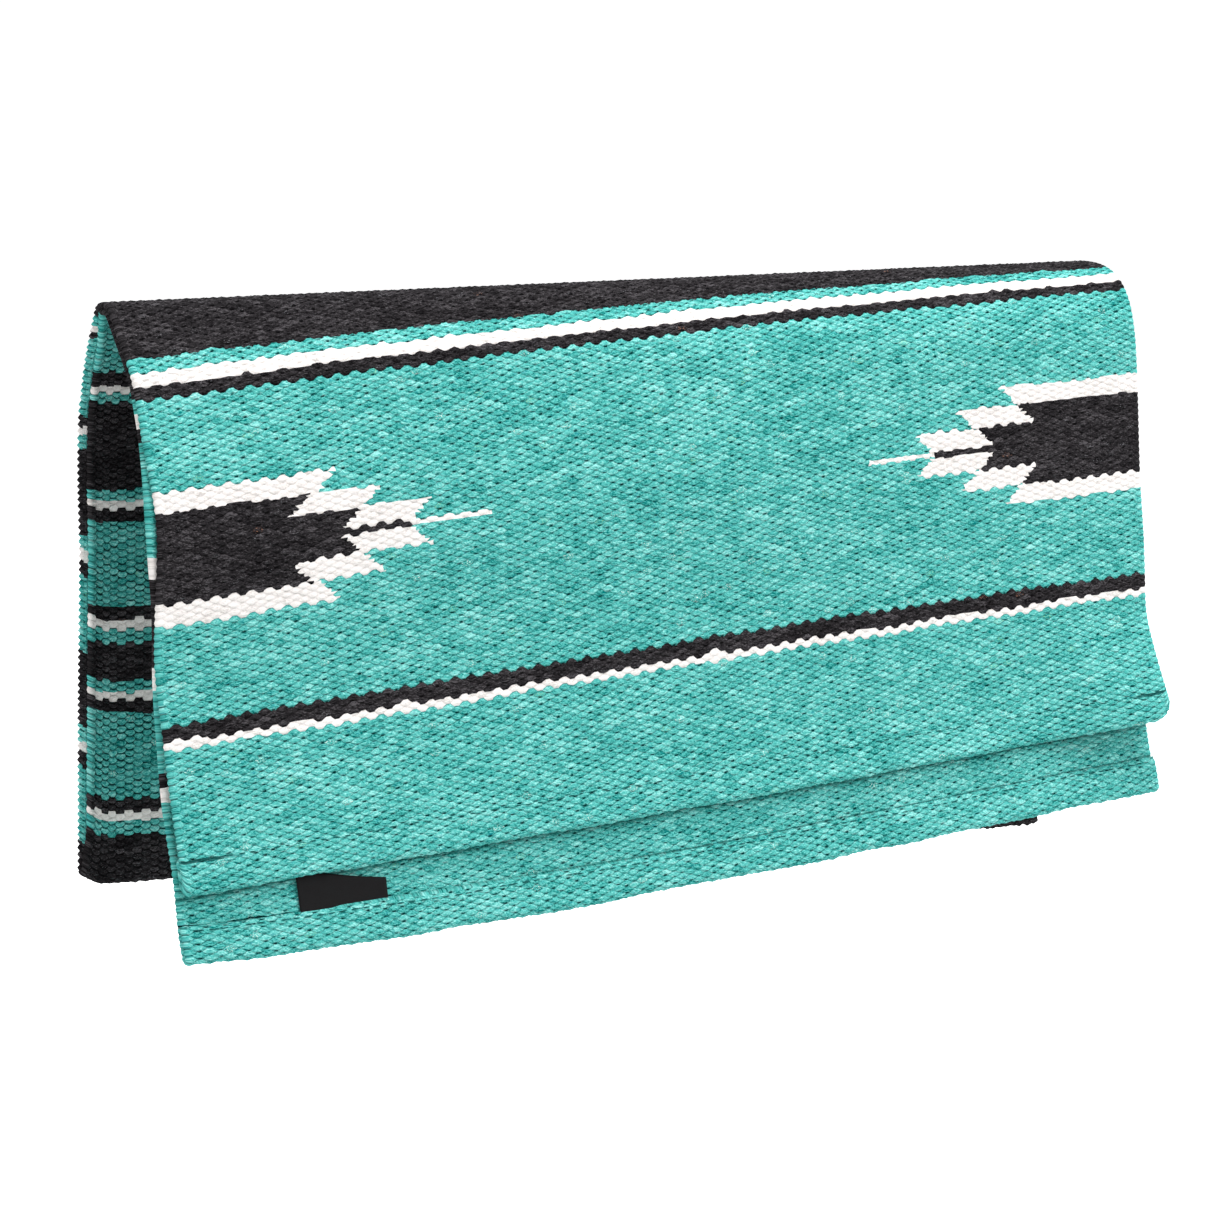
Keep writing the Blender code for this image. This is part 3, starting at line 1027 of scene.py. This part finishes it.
def weave_material():
    """Heathered wool: streaks along the yarn, uneven floats, painted crevice shade and a few odd fibres.
    """
    n = Nodes(bpy.data.materials.new("wool_weave"))
    weave_place = n.add("ShaderNodeUVMap", uv_map="weave").outputs[0]
    u, row, _ = n.add("ShaderNodeSeparateXYZ", {"Vector": weave_place}).outputs
    across, along = float_shape(n, u, row)
    flat = n.scaled(weave_place, rib_millimetres, row_millimetres, 1.0)
    twist = n.add("ShaderNodeMapping", {"Vector": flat, "Rotation": (0.0, 0.0, ply_twist)}).outputs[0]
    plies = wool_noise(n, twist, ply_noise)
    kinds = (streak_noise, patch_noise, speck_noise, fuzz_noise)
    streaks, patches, specks, fuzz = [wool_noise(n, flat, kind) for kind in kinds]
    attributes = [n.attribute(name) for name in ("shade", "chance", "yarn", "columns", "crease_shade")]
    shade, chances, yarn, columns, crease_shade = attributes

    swayed = zip((streaks, plies, patches, fuzz), tone_weights)
    sways = [n.times(n.math("SUBTRACT", noise, 0.5), weight) for noise, weight in swayed]
    tone = n.plus(*sways, n.times(shade, shade_weight))
    light = n.ramp(tone, 0.0, tone_swing)
    dark = n.ramp(tone, 0.0, -tone_swing)
    yarns = [toned_yarn(n, tones, light, dark) for tones in yarn_tones]
    yarns[teal] = n.mix(n.ramp(specks, *blue_ramp), yarns[teal], colour(*blue_tone))
    for kind, fibre_tone, chance_ramp, fuzz_ramp in odd_fibres:
        odd = n.times(n.ramp(chances, *chance_ramp), n.ramp(fuzz, *fuzz_ramp))
        yarns[kind] = n.mix(odd, yarns[kind], colour(*fibre_tone))

    # Painted shade: the dark colour that each yarn takes in its crevices and creases
    painted_shade_tones = [colour(*tones[3]) for tones in yarn_tones]
    is_black, is_white = [n.math("COMPARE", yarn, float(kind), yarn_match) for kind in (black, white)]
    shown, depth = [
        n.mix(is_white, n.mix(is_black, tones[teal], tones[black]), tones[white])
        for tones in (yarns, painted_shade_tones)
    ]
    unevenness = n.ramp(n.plus(n.times(chances, uneven_chance), patches), *uneven_ramp)
    # Painted shade in the crevices between floats, fainter on white yarn
    crevice_shade = painted_crevice_shade(n, across, along, columns, unevenness)
    crevice_shade = n.times(crevice_shade, n.ramp(is_white, 0.0, 1.0, 1.0, white_crevice_shade))
    # The yarn darkens towards its painted shade colour in crevices, creases and under the outer hem
    shown = n.mix(n.largest(crevice_shade, crease_shade), shown, depth)
    grains = [n.times(noise, grain_bump) for noise in (streaks, plies, fuzz)]
    height = n.plus(n.times(oval_height(n, across, along), oval_bump), *grains)
    return n.finish(shown, height, *weave_finish)


def grained_material(name, tone, grain, finish):
    """A plain fibrous finish: finely mottled, with a slight bump."""
    n = Nodes(bpy.data.materials.new(name))
    noise = n.noise(n.add("ShaderNodeTexCoord").outputs["Object"], *grain)
    base = colour(*tone)
    dim = tuple(value * grain_dimming for value in base[:3])
    return n.finish(n.mix(noise, (*dim, 1.0), base), noise, *finish)


# Label and stitching


def make_label(material):
    """The plain woven label, a little askew, its lower edge caught under the inner hem's strip."""
    across = np.linspace(0, 1, label_lines[0])[:, None]
    up = np.linspace(0, 1, label_lines[1])[None]
    distance = label_near_distance + label_shift + label_width * across + 0 * up
    low = inner_end(distance) - hem_height + label_tuck
    drop = low - (label_height[0] + (label_height[1] - label_height[0]) * across) * up
    lean = label_lean * smooth((up - label_lean_start) / (1 - label_lean_start))
    top = inner_front_depth(distance, drop) - label_rise - label_thickness - lean
    outer = np.arange(distance.size).reshape(distance.shape)
    quads = cells(outer[:, :-1], outer[:, 1:])
    rim = np.concatenate([outer[0, :-1], outer[:-1, -1], outer[-1, :0:-1], outer[::-1, 0]])
    walls = cells(rim, rim + outer.size)
    faces = np.concatenate([quads, quads[:, ::-1] + outer.size, walls])
    points = [place(distance, drop, depth) for depth in (top, top + label_thickness)]
    points = np.concatenate([p.reshape(-1, 3) for p in points])
    return new_item("woven_label_cloth", points.tolist(), faces.tolist(), material)


def strip_face_depth(distance, drop):
    """How deep the outward face of the inner hem's strip lies."""
    return inner_front_depth(distance, drop) - layer_depth


def make_stitches(name, end, depth, material):
    """A row of dashes of thread along a hem, each a thin tube sunk between the floats."""
    count = int(width / stitch_pitch) - 1
    start = (np.arange(count)[:, None, None] + stitch_start) * stitch_pitch
    share = np.linspace(0, 1, stitch_rings)[None, :, None]
    angle = np.linspace(0, 2 * np.pi, stitch_sides, endpoint=False)[None, None, :]
    bulge = np.sqrt(np.sin(np.pi * np.clip(share, stitch_taper, 1 - stitch_taper)))
    distance = start + stitch_length * share + 0 * angle
    drop = end(distance) - hem_height + thread_inset + stitch_radius * bulge * np.cos(angle)
    above = stitch_radius * bulge * np.sin(angle) - stitch_sunk + 0 * start
    points = place(distance, drop, depth(distance, drop) - above).reshape(-1, 3)
    index = np.arange(len(points)).reshape(count, stitch_rings, stitch_sides)
    beside = np.roll(index, -1, axis=2)
    walls = np.stack([index[:, :-1], beside[:, :-1], beside[:, 1:], index[:, 1:]], axis=-1)
    ends = index[:, 0, ::-1].tolist() + index[:, -1].tolist()
    return new_item(name, points.tolist(), walls.reshape(-1, 4).tolist() + ends, material)


# Camera, floor and light


def new_object_at(name, data, location, rotation):
    item = new_object(name, data)
    item.location = location
    item.rotation_euler = rotation
    return item


def add_camera():
    data = bpy.data.cameras.new("camera")
    data.lens = camera_lens
    data.sensor_width = sensor_width
    data.sensor_fit = "HORIZONTAL"
    rotation = (math.radians(90 - camera_pitch), 0, math.radians(-camera_yaw))
    bpy.context.scene.camera = new_object_at("camera", data, camera_place, rotation)


def add_floor():
    """A pale floor below the blanket, which also shows as the white background."""
    n = Nodes(bpy.data.materials.new("pale_floor"))
    rays = n.add("ShaderNodeLightPath").outputs
    seen = n.largest(*[rays[f"Is {kind} Ray"] for kind in ("Camera", "Glossy", "Transmission")])
    n.feed(n.shader, {"Base Color": floor_colour, "Roughness": floor_roughness})
    n.feed(n.shader, {"Emission Color": pure_white, "Emission Strength": n.times(seen, floor_glow)})
    level = cad_bounds[0][2] - floor_fall
    corners = [(x * floor_reach, y * floor_reach, level) for x, y in ((-1, -1), (1, -1), (1, 1), (-1, 1))]
    new_item("floor", corners, [(0, 1, 2, 3)], n.owner)


def add_area(name, location, size, power):
    """A square soft light that faces the blanket."""
    data = bpy.data.lights.new(name, "AREA")
    data.shape = "SQUARE"
    data.size = size
    data.energy = power
    way = Vector(light_aim) - Vector(location)
    new_object_at(name, data, location, way.to_track_quat("-Z", "Y").to_euler())


def add_world():
    """A white world that is seen at full strength and lights the blanket from all around."""
    world = bpy.data.worlds.new("world")
    bpy.context.scene.world = world
    n = Nodes(world, "Background")
    seen = n.add("ShaderNodeLightPath").outputs["Is Camera Ray"]
    n.feed(n.shader, {"Color": pure_white, "Strength": n.ramp(seen, 0.0, 1.0, world_light, 1.0)})


bpy.context.scene.view_settings.view_transform = "Standard"
add_camera()
add_floor()
add_world()
for soft_light in soft_lights:
    add_area(*soft_light)

weave = weave_material()
thread = grained_material("hem_thread", thread_tone, thread_grain, thread_finish)
label_black = grained_material("label_weave", label_tone, label_grain, label_finish)

outer_front = make_outer_front(weave)
outer_back = make_outer_back(weave)
inner_front = make_inner_front(weave)
inner_hem = make_inner_hem(weave)
inner_back = make_inner_back(weave)
label = make_label(label_black)
outer_stitches = make_stitches("outer_stitches", outer_end, outer_front_depth, thread)
inner_stitches = make_stitches("inner_stitches", inner_end, strip_face_depth, thread)


def hinge_bend(side):
    """The points at mid width where the cloth starts and ends its bend at a hinge."""
    middle = np.float64(width / 2)
    drops = [np.float64(side * (hinge_drop + away)) for away in (-blend_reach, blend_reach)]
    return [Vector(place(middle, drop, 0.0)) for drop in drops]


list(hinge_bend(1))
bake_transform(outer_front)
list(hinge_bend(1))
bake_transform(inner_front)
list(hinge_bend(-1))
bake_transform(outer_back)
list(hinge_bend(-1))
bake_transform(inner_back)
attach(inner_hem, "inner_front")
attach(label, "inner_front")
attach(inner_stitches, "inner_front")
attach(outer_stitches, "outer_front")

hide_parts("outer_ridge", "outer_front_panel", "outer_front_hem")
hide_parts("outer_back_panel", "bottom_fold")
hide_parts("inner_ridge", "inner_front_panel")
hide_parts("inner_front_hem")
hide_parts("inner_back_panel")
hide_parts("woven_label")
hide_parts("outer_hem_stitching")
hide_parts("inner_hem_stitching")
